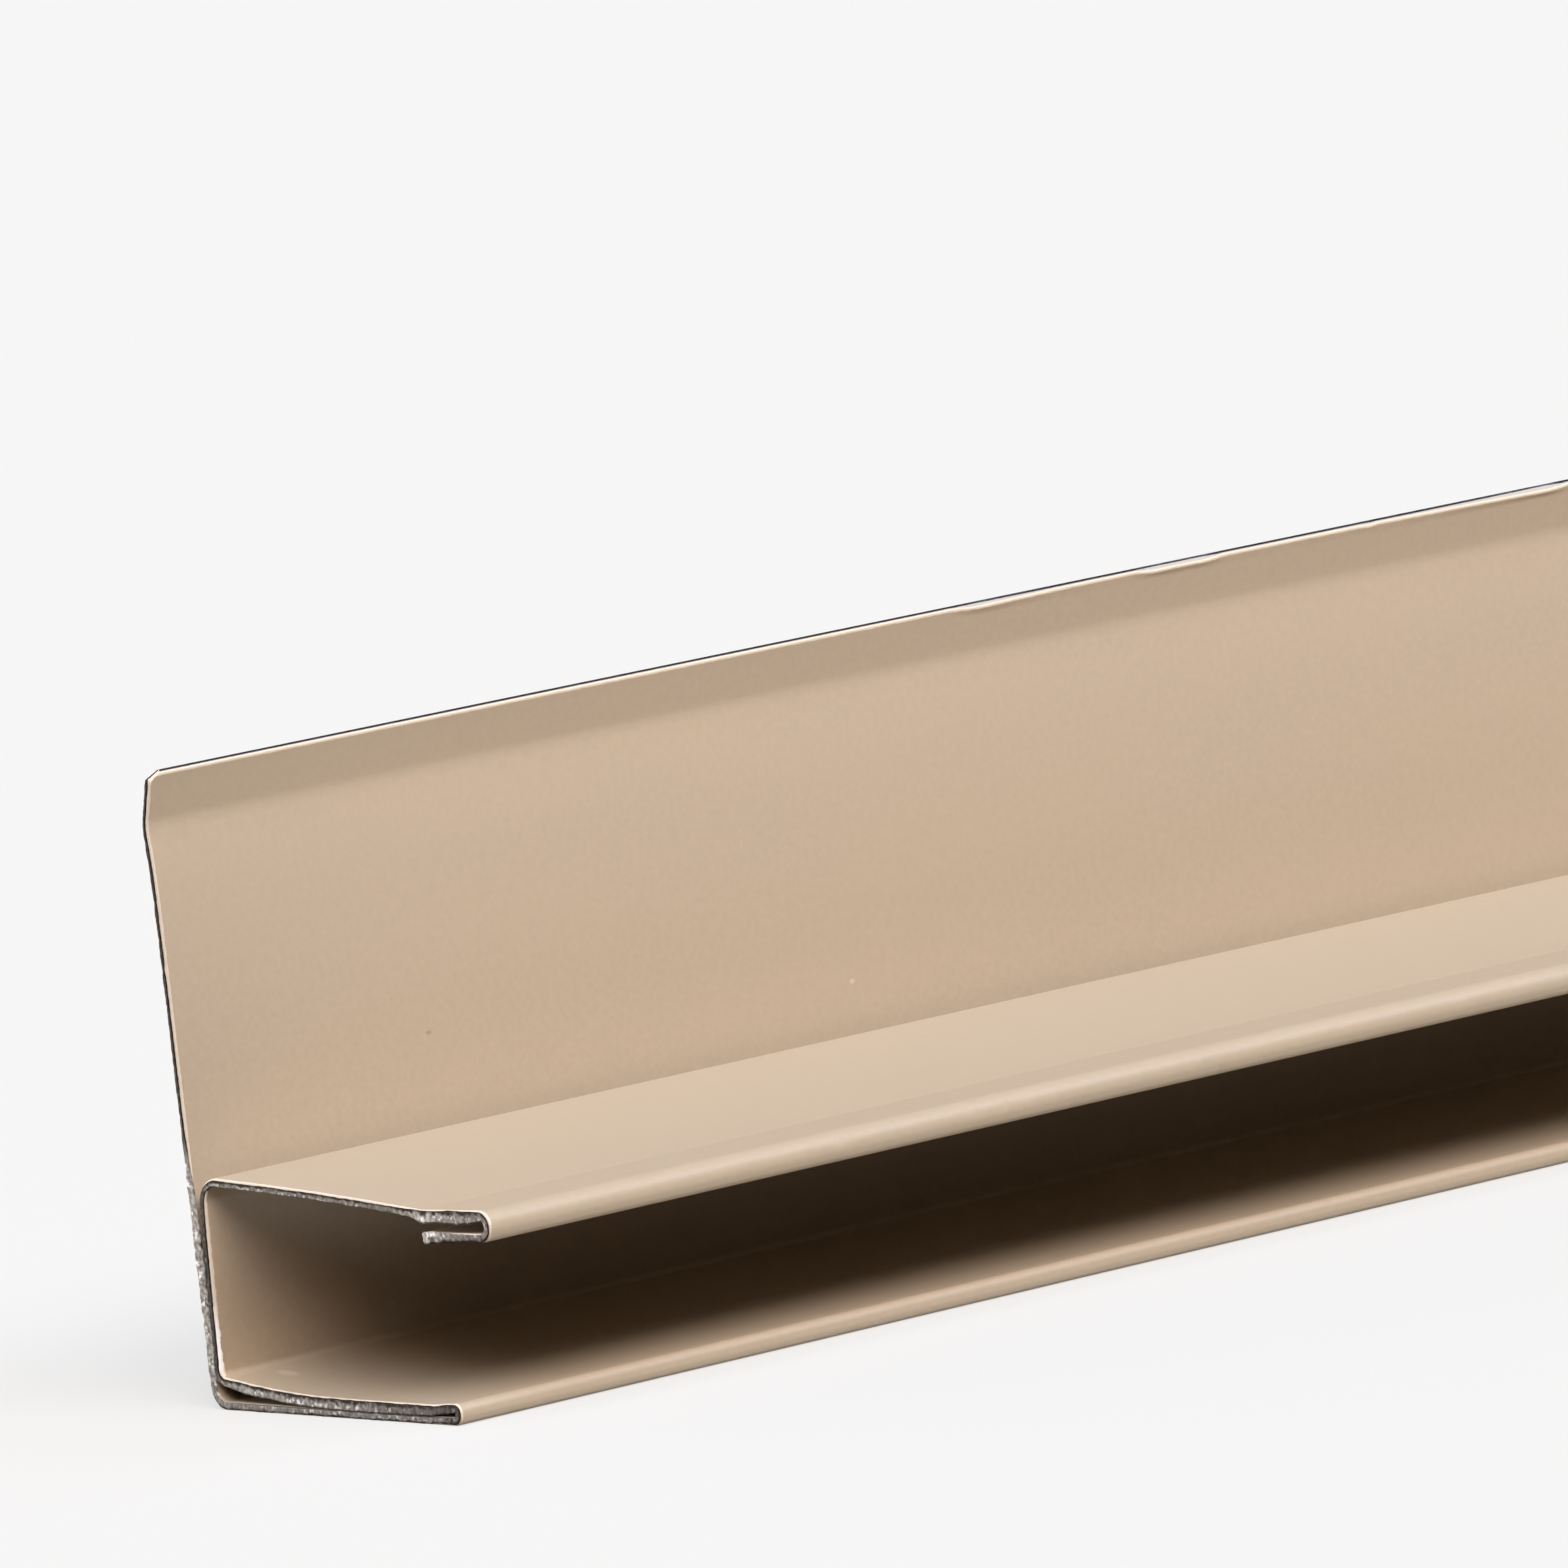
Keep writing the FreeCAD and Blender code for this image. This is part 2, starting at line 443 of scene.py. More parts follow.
# %% Three small marks, as in the photograph
# mm from the near end, forward of the back plane and up, then their half lengths in mm
small_marks = (
    ((18.8, 0.75, 19.3), (0.20, 0.40, 0.12), "#988875"), ((51.6, 0.75, 16.8), (0.22, 0.40, 0.16), "#C2B09A"),
    ((3.3, 3.4, 1.6), (0.45, 0.90, 0.60), "#C2B09A"))
for spot, half_lengths, colour in small_marks:
    centre = (frame_low.x + spot[0] * MM, frame_high.y - spot[1] * MM, frame_low.z + spot[2] * MM)
    away = add_node(tree, "ShaderNodeVectorMath", {0: place, 1: centre}, operation="SUBTRACT")
    away = add_node(tree, "ShaderNodeVectorMath", {
        0: away, 1: [1 / (length * MM) for length in half_lengths]}, operation="MULTIPLY")
    away = add_node(tree, "ShaderNodeVectorMath", {0: away}, operation="LENGTH").outputs["Value"]
    inside = add_node(tree, "ShaderNodeMapRange", {0: away, 1: 1.3, 2: 0.6}, **smoothly)
    tone = add_node(tree, "ShaderNodeMix", {0: inside, 6: tone, 7: linear(colour)}, **in_colour).outputs[2]
print("small marks", len(small_marks))

# %% Satin gloss and orange peel
peel_depth = 0.004
peel = noise_of_size(tree, place, 0.33, detail=1.0)
bump = add_node(tree, "ShaderNodeBump", {"Height": peel, "Distance": peel_depth * MM, "Strength": 1.0})
roughness = add_node(tree, "ShaderNodeMapRange", {0: mottle, 1: 0.2, 2: 0.8, 3: 0.40, 4: 0.48}, **smoothly)
shader = add_node(tree, "ShaderNodeBsdfPrincipled", {
    "Base Color": tone, "Roughness": roughness, "IOR": 1.5, "Normal": bump})
tree.links.new(shader.outputs[0], output.inputs["Surface"])
print(paint.name, "nodes", len(tree.nodes))

# %% [markdown]
# Bare metal shows in two kinds of place. The slitting knife left a narrow, smooth edge along the top of the
# flange and along the hem's lip. It mirrors what is round it, so it looks dark against a pale room, and the
# pale primer laps over its front corner, and further back where the knife tore it. The shear left two rough
# ends: smooth where its blade came in, where painted shade and some smeared paint make it dark, and bright
# and gritty where the metal tore away, with painted glints on it. Both are the same aluminium; what tells
# them apart is the roughness, and painted shade darkens the pits between the grains. The grains of a real
# tear are too fine to show here, so they are drawn about a quarter of a millimetre across.

# %% Slit edge, bare metal along its back and pale torn primer in front of it
slit, tree, output, place = new_finish("bare_slit_aluminium")
primer_reach = -4.6   # how far one mm of tear draws the primer back, in half thicknesses
side, torn_down = (
    add_node(tree, "ShaderNodeAttribute", attribute_name=title).outputs["Fac"]
    for title in ("side", "torn down"))
marks = noise_of_size(tree, place, 0.2, detail=3.0)
metal = add_node(tree, "ShaderNodeMix", {
    0: marks, 6: linear("#848B97"), 7: linear("#ABB0BA")}, **in_colour).outputs[2]
past_cut = add_node(tree, "ShaderNodeMath", {
    0: torn_down, 1: primer_reach, 2: side}, operation="MULTIPLY_ADD")
pale = add_node(tree, "ShaderNodeMapRange", {0: past_cut, 1: -0.40, 2: -0.75}, **smoothly)
tone = add_node(tree, "ShaderNodeMix", {0: pale, 6: metal, 7: linear("#B3ADA6")}, **in_colour).outputs[2]
metallic = add_node(tree, "ShaderNodeMapRange", {0: pale, 1: 1.0, 2: 0.0}, **smoothly)
roughness = add_node(tree, "ShaderNodeMapRange", {0: marks, 1: 0.3, 2: 0.7, 3: 0.28, 4: 0.42}, **smoothly)
bump = add_node(tree, "ShaderNodeBump", {"Height": marks, "Distance": 0.01 * MM})
shader = add_node(tree, "ShaderNodeBsdfPrincipled", {
    "Base Color": tone, "Metallic": metallic, "Roughness": roughness, "Normal": bump})
tree.links.new(shader.outputs[0], output.inputs["Surface"])
print(slit.name, "nodes", len(tree.nodes))

# %% Sheared end: painted shade where the blade cut, bright torn metal with painted glints
torn_metal, tree, output, place = new_finish("sheared_aluminium")
across, blade_side, bright = (
    add_node(tree, "ShaderNodeAttribute", attribute_name=title).outputs["Fac"]
    for title in ("across", "blade side", "bright"))
grit = noise_of_size(tree, place, 0.28, detail=2.0)
flecks = noise_of_size(tree, place, 0.60, detail=1.0)
towards_blade = add_node(tree, "ShaderNodeMath", {0: across, 1: blade_side}, operation="MULTIPLY")
wander = add_node(tree, "ShaderNodeMapRange", {0: flecks, 1: 0.3, 2: 0.7, 3: -0.35, 4: 0.35}, **smoothly)
depth = add_node(tree, "ShaderNodeMath", {0: towards_blade, 1: wander}, operation="ADD")
torn = add_node(tree, "ShaderNodeMapRange", {0: depth, 1: 0.80, 2: 0.05}, **smoothly)
torn = add_node(tree, "ShaderNodeMath", {0: torn, 1: bright}, operation="MULTIPLY")
# painted shade: the smooth zone where the blade came in is painted dark brown, with some smeared paint
tone = add_node(tree, "ShaderNodeMix", {
    0: torn, 6: linear("#3F362F"), 7: linear("#C6C1BA")}, **in_colour).outputs[2]
# painted shade in the pits between the grains
pit_shade = add_node(tree, "ShaderNodeMapRange", {0: grit, 1: 0.35, 2: 0.65, 4: 0.40}, **smoothly)
tone = add_node(tree, "ShaderNodeMix", {0: pit_shade, 6: tone, 7: linear("#4B433B")}, **in_colour).outputs[2]
# painted glints: near-white flecks on the torn metal, where light would sparkle off its facets
painted_glint = add_node(tree, "ShaderNodeMapRange", {0: grit, 1: 0.60, 2: 0.44}, **smoothly)
in_fleck = add_node(tree, "ShaderNodeMapRange", {0: flecks, 1: 0.52, 2: 0.64}, **smoothly)
for share in (torn, in_fleck):
    painted_glint = add_node(tree, "ShaderNodeMath", {0: painted_glint, 1: share}, operation="MULTIPLY")
tone = add_node(tree, "ShaderNodeMix", {0: painted_glint, 6: tone, 7: linear("#FAF7F3")}, **in_colour).outputs[2]
roughness = add_node(tree, "ShaderNodeMapRange", {0: grit, 1: 0.3, 2: 0.7, 3: 0.60, 4: 0.80}, **smoothly)
bump = add_node(tree, "ShaderNodeBump", {"Height": grit, "Distance": 0.03 * MM})
shader = add_node(tree, "ShaderNodeBsdfPrincipled", {
    "Base Color": tone, "Metallic": 1.0, "Roughness": roughness, "Normal": bump})
tree.links.new(shader.outputs[0], output.inputs["Surface"])
print(torn_metal.name, "nodes", len(tree.nodes))

# %% [markdown]
# Folding the sheet. The main piece is a closed box of quads, as long in rings and as wide in stations as the
# two rules say and one sheet thick. A geometry node tree looks up each vertex's ring and station by its
# place in the flat box, and moves it to the folded one. A thickness is laid off along the face's direction,
# a little less at the rims. Mesh code could do the same, but in a tree each size stays an input.


# %% Helpers for shape trees
def shape_tree(name, sizes):
    """A geometry node tree with these named inputs. Returns the tree and its group input."""
    made = bpy.data.node_groups.new(name, "GeometryNodeTree")
    for title, kind in sizes.items():
        made.interface.new_socket(title, in_out="INPUT", socket_type="NodeSocket" + kind)
    made.interface.new_socket("Geometry", in_out="OUTPUT", socket_type="NodeSocketGeometry")
    return made, add_node(made, "NodeGroupInput").outputs


def finish_tree(made, geometry, dressings):
    """Realises the geometry and gives it its materials, each on its own selection."""
    geometry = add_node(made, "GeometryNodeRealizeInstances", {"Geometry": geometry})
    for material, selection in dressings:
        inputs = {"Geometry": geometry, "Material": material}
        if selection is not None:
            inputs["Selection"] = selection
        geometry = add_node(made, "GeometryNodeSetMaterial", inputs)
    add_node(made, "NodeGroupOutput", {"Geometry": geometry})


def grown(name, made, values):
    """Runs a shape tree with these sizes and returns the result as a plain mesh object at the origin."""
    piece = bpy.data.objects.new(name, bpy.data.meshes.new(name))
    bpy.context.scene.collection.objects.link(piece)
    modifier = piece.modifiers.new(made.name, "NODES")
    modifier.node_group = made
    for item in made.interface.items_tree:
        if item.in_out == "INPUT":
            modifier[item.identifier] = values[item.name]
    depsgraph = bpy.context.evaluated_depsgraph_get()
    mesh = bpy.data.meshes.new_from_object(
        piece.evaluated_get(depsgraph), preserve_all_data_layers=True, depsgraph=depsgraph)
    piece.modifiers.remove(modifier)
    while mesh.materials[0] is None:
        mesh.materials.pop(index=0)
    piece.data = mesh
    mesh.name = name
    return piece


def looked_up(made, helper, title, index, kind="FLOAT"):
    """The number or direction that a helper mesh holds under this name for its point with this index."""
    value = add_node(made, "GeometryNodeInputNamedAttribute", {"Name": title}, data_type=kind)
    return add_node(made, "GeometryNodeSampleIndex", {
        "Geometry": helper, "Value": value, "Index": index}, data_type=kind, clamp=True)


def place_at(made, helper, index):
    """The place of a helper mesh's point with this index."""
    value = add_node(made, "GeometryNodeInputPosition")
    return add_node(made, "GeometryNodeSampleIndex", {
        "Geometry": helper, "Value": value, "Index": index}, data_type="FLOAT_VECTOR", clamp=True)


def points_along(made, helper, place):
    """How many points a helper mesh has, and the index of the one for a place from -0.5 to 0.5 in the box."""
    count = add_node(made, "GeometryNodeAttributeDomainSize", {"Geometry": helper}).outputs["Point Count"]
    last = add_node(made, "ShaderNodeMath", {0: count, 1: 1.0}, operation="SUBTRACT")
    index = add_node(made, "ShaderNodeMapRange", {0: place, 1: -0.5, 2: 0.5, 4: last})
    return count, add_node(made, "ShaderNodeMath", {0: index}, operation="ROUND")


print("shape helpers ready")

# %% Start the folding tree with a flat blank
folding, sizes = shape_tree("fold_a_flat_blank", {
    "Fold rule": "Object", "Ring rule": "Object", "Half thickness": "Float",
    "Paint": "Material", "Slit edge": "Material"})
fold_mesh, ring_mesh = (
    add_node(folding, "GeometryNodeObjectInfo", {"Object": sizes[title]}).outputs["Geometry"]
    for title in ("Fold rule", "Ring rule"))
flat = add_node(folding, "ShaderNodeSeparateXYZ", {
    0: add_node(folding, "GeometryNodeInputPosition")}).outputs
ring_count, ring_index = points_along(folding, ring_mesh, flat["X"])
fold_count, fold_index = points_along(folding, fold_mesh, flat["Y"])
blank = add_node(folding, "GeometryNodeMeshCube", {
    "Size": (1, 1, 1), "Vertices X": ring_count, "Vertices Y": fold_count, "Vertices Z": 2})
print("nodes for the flat blank", len(folding.nodes))

# %% Find each vertex's folded place
share = add_node(folding, "ShaderNodeMath", {
    0: looked_up(folding, ring_mesh, "share", ring_index),
    1: looked_up(folding, fold_mesh, "share", fold_index)}, operation="MINIMUM")
side = add_node(folding, "ShaderNodeMath", {0: flat["Z"]}, operation="SIGN")
reach = sizes["Half thickness"]
for factor in (share, side):
    reach = add_node(folding, "ShaderNodeMath", {0: reach, 1: factor}, operation="MULTIPLY")
outward = add_node(folding, "ShaderNodeVectorMath", {
    0: looked_up(folding, fold_mesh, "right face", fold_index, "FLOAT_VECTOR"), "Scale": reach},
    operation="SCALE")
folded = place_at(folding, fold_mesh, fold_index)
for shift in (place_at(folding, ring_mesh, ring_index), outward):
    folded = add_node(folding, "ShaderNodeVectorMath", {0: folded, 1: shift}, operation="ADD")
print("nodes with the folded place", len(folding.nodes))

# %% Store what the finishes read, and fold
facing = add_node(folding, "ShaderNodeSeparateXYZ", {
    0: add_node(folding, "GeometryNodeInputNormal")}).outputs
steepness = [add_node(folding, "ShaderNodeMath", {0: facing[axis]}, operation="ABSOLUTE") for axis in "XY"]
is_end, is_slit = (
    add_node(folding, "ShaderNodeMath", {0: steep, 1: 0.5}, operation="GREATER_THAN") for steep in steepness)
primer_width = add_node(folding, "ShaderNodeMath", {
    0: looked_up(folding, fold_mesh, "primer", fold_index), 1: side}, operation="MULTIPLY")
primer_width = add_node(folding, "ShaderNodeMath", {0: primer_width, 1: 0.0}, operation="MAXIMUM")
geometry = blank
for title, kind, domain, value in (
        ("is end", "BOOLEAN", "FACE", is_end), ("is slit", "BOOLEAN", "FACE", is_slit),
        ("from sheared end", "FLOAT", "POINT", looked_up(folding, ring_mesh, "from sheared end", ring_index)),
        ("along blank", "FLOAT", "POINT", looked_up(folding, fold_mesh, "along blank", fold_index)),
        ("side", "FLOAT", "POINT", side), ("primer width", "FLOAT", "POINT", primer_width)):
    geometry = add_node(folding, "GeometryNodeStoreNamedAttribute", {
        "Geometry": geometry, "Name": title, "Value": value}, data_type=kind, domain=domain)
geometry = add_node(folding, "GeometryNodeSetPosition", {"Geometry": geometry, "Position": folded})
slit_faces = add_node(folding, "GeometryNodeInputNamedAttribute", {"Name": "is slit"}, data_type="BOOLEAN")
finish_tree(folding, geometry, ((sizes["Paint"], None), (sizes["Slit edge"], slit_faces)))

folded_sheet = grown("folded_sheet", folding, {
    "Fold rule": fold_rule, "Ring rule": ring_rule, "Half thickness": half * MM,
    "Paint": paint, "Slit edge": slit})
print("folded sheet faces", len(folded_sheet.data.polygons), "materials", len(folded_sheet.data.materials))


# %% Shade the broad faces smooth and leave the cut faces flat
def shade(piece):
    mesh = piece.data
    cut = np.zeros(len(mesh.polygons), dtype=bool)
    for title in ("is end", "is slit"):
        flags = np.zeros(len(mesh.polygons), dtype=bool)
        mesh.attributes[title].data.foreach_get("value", flags)
        cut |= flags
    mesh.polygons.foreach_set("use_smooth", ~cut)
    mesh.update()


shade(folded_sheet)
corners = np.empty(len(folded_sheet.data.vertices) * 3)
folded_sheet.data.vertices.foreach_get("co", corners)
corners = corners.reshape(-1, 3) / MM
print("folded sheet spans mm", corners.min(axis=0).round(3), corners.max(axis=0).round(3))

# %% [markdown]
# The sheared ends. Shears don't cut sheet metal cleanly: the blade bites, and the rest tears off as a rough
# grey face with bright burrs, a little proud of the sheet and here and there wider than it, most of all at
# the hem, where two layers were crushed together. So each end gets its own thin, rough shell over the cut.
# It is made the same way as the sheet, from a rule with a point every tenth of a millimetre, and noise in the
# tree pushes its vertices about. A bump in the material alone would leave the outline of the cut too clean.

# %% Say how the cut looks along the blank
# mm along the blank, how far the torn metal reaches towards the left and right face in half thicknesses,
# which face the blade came in from (-1 left, 1 right), and how much of the cut is bright torn metal
cut_marks = (
    (0.0, -0.75, 0.85, -1, 0.10), (0.4, -0.60, 0.85, -1, 0.10), (0.7, -0.10, 0.85, -1, 0.10),
    (21.8, 0.00, 0.85, -1, 0.15), (24.0, 0.90, 0.95, 0, 0.80), (26.0, 1.90, 1.00, -0.4, 0.90),
    (29.0, 2.20, 1.05, -0.5, 0.80), (33.0, 1.95, 1.05, -0.4, 0.80), (heel_at - 3.0, 1.70, 1.05, 0, 0.75),
    (heel_at - 1.0, 1.10, 0.85, 0.5, 0.55), (heel_at, 0.80, 0.80, 1, 0.50),
    (heel_at + 4, 0.60, 0.80, 1, 0.50), (pressed_at - 6.0, 0.50, 0.80, 1, 0.50),
    (pressed_at - 4.2, 0.95, 0.70, 1, 0.15), (pressed_at - 2.6, 1.10, 0.70, 1, 0.12),
    (pressed_at, 1.75, 0.80, 1, 0.25), (pressed_at + 7, 1.90, 0.85, 1, 0.50),
    (web_at - 3.0, 1.60, 0.80, 1, 0.80), (web_at - 1.2, 1.10, 0.60, 1, 0.55),
    (web_at, 1.05, 0.30, 1, 0.12), (crown_at - 4.0, 0.95, 0.25, 1, 0.10),
    (crown_at - 1.5, 0.75, 0.55, 0, 0.15), (crown_at, 0.50, 0.85, -1, 0.35),
    (crown_at + 1, 0.45, 0.90, -1, 0.45), (hem_at - 3.0, 0.45, 0.95, -1, 0.45),
    (hem_at - 1.0, 0.70, 1.20, -1, 0.85), (hem_at, 0.80, 2.20, -0.8, 1.00),
    (hem_at + 1.8, 0.80, 2.10, -1, 0.85), (hem_at + 3.6, 0.80, 2.40, -1, 0.60),
    (lip_at - 2.2, 0.60, 1.60, -1, 0.50), (lip_at - 1.0, 0.50, 1.00, -1, 0.55),
    (lip_at, 0.90, 0.80, -1, 0.40), (blank_width - 3.0, 1.00, 0.95, -1, 0.45),
    (blank_width - 0.8, 1.50, 1.35, -0.5, 1.00), (blank_width - 0.15, 1.90, 1.20, 0, 1.00),
    (blank_width, 1.20, 0.60, 0, 1.00))
burr_spacing = 0.10
burr_places = np.arange(0.02, blank_width, burr_spacing)
burr_points, burr_faces = folded_points(burr_places)
at, *columns = zip(*cut_marks)
burr_titles = ("left reach", "right reach", "blade side", "bright")
burr_rule = rule_object("burr_rule", burr_points, {
    "right face": burr_faces, "along blank": burr_places,
    **{title: np.interp(burr_places, at, values) for title, values in zip(burr_titles, columns)}})
print("points along the cut", len(burr_points))

# %% Start the tree for a rough shell over the cut
rows_across = 7
shearing, sizes = shape_tree("shear_a_rough_end", {
    "Burr rule": "Object", "End": "Vector", "Outward": "Float", "Half thickness": "Float", "Grain": "Float",
    "Roughness": "Float", "Seed": "Float", "Sheared end": "Material"})
burr_mesh = add_node(shearing, "GeometryNodeObjectInfo", {"Object": sizes["Burr rule"]}).outputs["Geometry"]
flat = add_node(shearing, "ShaderNodeSeparateXYZ", {
    0: add_node(shearing, "GeometryNodeInputPosition")}).outputs
burr_count, burr_index = points_along(shearing, burr_mesh, flat["Y"])
shell = add_node(shearing, "GeometryNodeMeshCube", {
    "Size": (1, 1, 1), "Vertices X": 2, "Vertices Y": burr_count, "Vertices Z": rows_across})
burr = {title: looked_up(shearing, burr_mesh, title, burr_index) for title in ("along blank", *burr_titles)}
across = flat["Z"]
for factor in (2.0, sizes["Outward"]):
    across = add_node(shearing, "ShaderNodeMath", {0: across, 1: factor}, operation="MULTIPLY")
is_front = add_node(shearing, "ShaderNodeMath", {0: flat["X"], 1: 0.0}, operation="GREATER_THAN")
print("nodes for the flat shell", len(shearing.nodes))

# %% Push the torn face out unevenly, and sink the shell's back into the sheet
back_depth = 0.5   # in half thicknesses, like the next two
back_width = 0.8
raggedness = 0.8
from_middle = add_node(shearing, "ShaderNodeMath", {0: across, 1: half}, operation="MULTIPLY")
spot = add_node(shearing, "ShaderNodeCombineXYZ", {
    "X": burr["along blank"], "Y": from_middle, "Z": sizes["Seed"]})
wave_grain = add_node(shearing, "ShaderNodeMath", {0: sizes["Grain"], 1: 0.25}, operation="MULTIPLY")
pits, waves = (
    add_node(shearing, "ShaderNodeTexNoise", {"Vector": spot, "Scale": grain, "Detail": 2.0})
    for grain in (sizes["Grain"], wave_grain))
proud = pits
for factor in (2.0, sizes["Roughness"]):
    proud = add_node(shearing, "ShaderNodeMath", {0: proud, 1: factor}, operation="MULTIPLY")
sunk = add_node(shearing, "ShaderNodeMath", {
    0: sizes["Half thickness"], 1: -back_depth}, operation="MULTIPLY")
depth = add_node(shearing, "GeometryNodeSwitch", {0: is_front, 1: sunk, 2: proud}, input_type="FLOAT")
depth = add_node(shearing, "ShaderNodeMath", {0: depth, 1: sizes["Outward"]}, operation="MULTIPLY")
along = add_node(shearing, "ShaderNodeCombineXYZ", {"X": depth})
print("nodes with the depth", len(shearing.nodes))

# %% Draw the torn metal over the sheet's faces as far as the rule says
ragged = add_node(shearing, "ShaderNodeMath", {0: waves, 1: 0.5}, operation="SUBTRACT")
ragged = add_node(shearing, "ShaderNodeMath", {0: ragged, 1: raggedness}, operation="MULTIPLY")
left, right = (
    add_node(shearing, "ShaderNodeMath", {0: burr[title], 1: ragged}, operation="ADD")
    for title in ("left reach", "right reach"))
share = add_node(shearing, "ShaderNodeMath", {0: across, 1: 0.5, 2: 0.5}, operation="MULTIPLY_ADD")
wide = add_node(shearing, "ShaderNodeMath", {0: left, 1: right}, operation="ADD")
wide = add_node(shearing, "ShaderNodeMath", {0: wide, 1: share}, operation="MULTIPLY")
wide = add_node(shearing, "ShaderNodeMath", {0: wide, 1: left}, operation="SUBTRACT")
narrow = add_node(shearing, "ShaderNodeMath", {0: across, 1: back_width}, operation="MULTIPLY")
reach = add_node(shearing, "GeometryNodeSwitch", {0: is_front, 1: narrow, 2: wide}, input_type="FLOAT")
reach = add_node(shearing, "ShaderNodeMath", {0: sizes["Half thickness"], 1: reach}, operation="MULTIPLY")
outward = add_node(shearing, "ShaderNodeVectorMath", {
    0: looked_up(shearing, burr_mesh, "right face", burr_index, "FLOAT_VECTOR"), "Scale": reach},
    operation="SCALE")
torn_place = place_at(shearing, burr_mesh, burr_index)
for shift in (outward, along, sizes["End"]):
    torn_place = add_node(shearing, "ShaderNodeVectorMath", {0: torn_place, 1: shift}, operation="ADD")
print("nodes with the reach", len(shearing.nodes))

# %% Store what the finish reads, and place the shell
for title, value in (("across", across), ("blade side", burr["blade side"]), ("bright", burr["bright"])):
    shell = add_node(shearing, "GeometryNodeStoreNamedAttribute", {
        "Geometry": shell, "Name": title, "Value": value}, data_type="FLOAT", domain="POINT")
shell = add_node(shearing, "GeometryNodeSetPosition", {"Geometry": shell, "Position": torn_place})
shell = add_node(shearing, "GeometryNodeSetShadeSmooth", {"Geometry": shell, "Shade Smooth": True})
finish_tree(shearing, shell, ((sizes["Sheared end"], None),))
print("shear tree nodes", len(shearing.nodes))

# %% Shear both ends
pit_size = 0.38
pit_height = 0.045
sheared_ends = [grown(name, shearing, {
    "Burr rule": burr_rule, "End": (end, 0.0, 0.0), "Outward": outward, "Half thickness": half * MM,
    "Grain": 1 / pit_size, "Roughness": pit_height * MM, "Seed": seed, "Sheared end": torn_metal})
    for name, end, outward, seed in (("near_sheared_end", frame_low.x, -1.0, 3.0),
                                     ("far_sheared_end", frame_high.x, 1.0, 8.0))]
for helper in (fold_rule, ring_rule, burr_rule):
    bpy.data.objects.remove(helper)
print("faces of the ends", [len(end.data.polygons) for end in sheared_ends])

# %% [markdown]
# Small damage. The photograph shows three kinds on this strip: the near top corner was snipped off, the blunt
# slitting knife tore the top edge in places, and something scuffed the hem's nose. All of it is done by
# sliding vertices, so that no odd triangles appear.


# %% Read and write the places of vertices in millimetres from the near end
def spots_of(piece):
    """Each vertex as mm from the near end, y and z in mm of the frame."""
    spots = np.empty(len(piece.data.vertices) * 3)
    piece.data.vertices.foreach_get("co", spots)
    return (spots.reshape(-1, 3) - (frame_low.x, 0.0, 0.0)) / MM


def put_back(piece, spots):
    piece.data.vertices.foreach_set("co", (spots * MM + (frame_low.x, 0.0, 0.0)).ravel())
    piece.data.update()


def numbers_of(piece, title):
    numbers = np.empty(len(piece.data.vertices))
    piece.data.attributes[title].data.foreach_get("value", numbers)
    return numbers


print("near end vertices", int((spots_of(folded_sheet)[:, 0] < 0.01).sum()))

# %% Tear the top edge where the knife was blunt
# mm from the near end, and how many mm the edge's front is torn down there
torn_edge = ((0, 0.02), (40, 0.03), (62.3, 0.02), (64.0, 0.17), (67, 0.13), (71.7, 0.05), (77.3, 0.04),
             (78.3, 0.19), (80.5, 0.16), (83.2, 0.19), (83.9, 0.05), (95.4, 0.06), (96.3, 0.12), (97.0, 0.06),
             (104, 0.12), (110, 0.19), (112, 0.21), (112.7, 0.08), (stock_length, 0.05))
torn_width = 0.3
spots = spots_of(folded_sheet)
torn_down = np.interp(spots[:, 0], *zip(*torn_edge))
tears = folded_sheet.data.attributes.new("torn down", "FLOAT", "POINT")
tears.data.foreach_set("value", torn_down.astype(np.float32))
on_front = (numbers_of(folded_sheet, "side") < 0) & (numbers_of(folded_sheet, "along blank") < torn_width)
spots[on_front, 2] -= torn_down[on_front]
put_back(folded_sheet, spots)
print("vertices torn down", int(on_front.sum()))

# %% Snip the near top corner, as deep as in the plain solid
snip_along = 0.95
snip_down = 0.50
snip_reach = 4.0   # mm from the end within which the rings close up to make room
for piece in (folded_sheet, sheared_ends[0]):
    spots = spots_of(piece)
    taken = np.clip(1 - (frame_high.z / MM - spots[:, 2]) / snip_down, 0, 1) * snip_along
    fade = np.clip(1 - spots[:, 0] / snip_reach, 0, 1)
    spots[:, 0] += taken * fade
    put_back(piece, spots)
print("snip takes", snip_along, "mm along and", snip_down, "mm down")

# %% Scuff the hem's nose
nose_reach = 1.2
scuff_half_height = 0.25
spots = spots_of(folded_sheet)
nose_back = frame_low.y / MM + nose_reach
nose_low = frame_low.z / MM + spots[(spots[:, 1] < nose_back), 2].min()
on_nose = (spots[:, 1] < nose_back) & (numbers_of(folded_sheet, "side") < 0)
for along, length, height, depth in nose_scuffs:
    away = np.hypot((spots[:, 0] - along) / length, (spots[:, 2] - nose_low - height) / scuff_half_height)
    spots[on_nose, 1] += depth * np.exp(-away[on_nose] ** 2)
put_back(folded_sheet, spots)
print("nose from", round(nose_low, 2), "mm up, scuffs", len(nose_scuffs))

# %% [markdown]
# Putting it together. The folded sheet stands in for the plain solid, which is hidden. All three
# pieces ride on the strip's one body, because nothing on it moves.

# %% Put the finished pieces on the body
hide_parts("f_channel")
for piece in (folded_sheet, *sheared_ends):
    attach(piece, "root")
print("riding on root", folded_sheet.name, [end.name for end in sheared_ends])

# %% [markdown]
# Floor. The floor is a plain pale sweep, so large that its edge is never seen. It partly glows by itself,
# which keeps it even and pale at any angle, and leaves only a soft shadow under the strip.

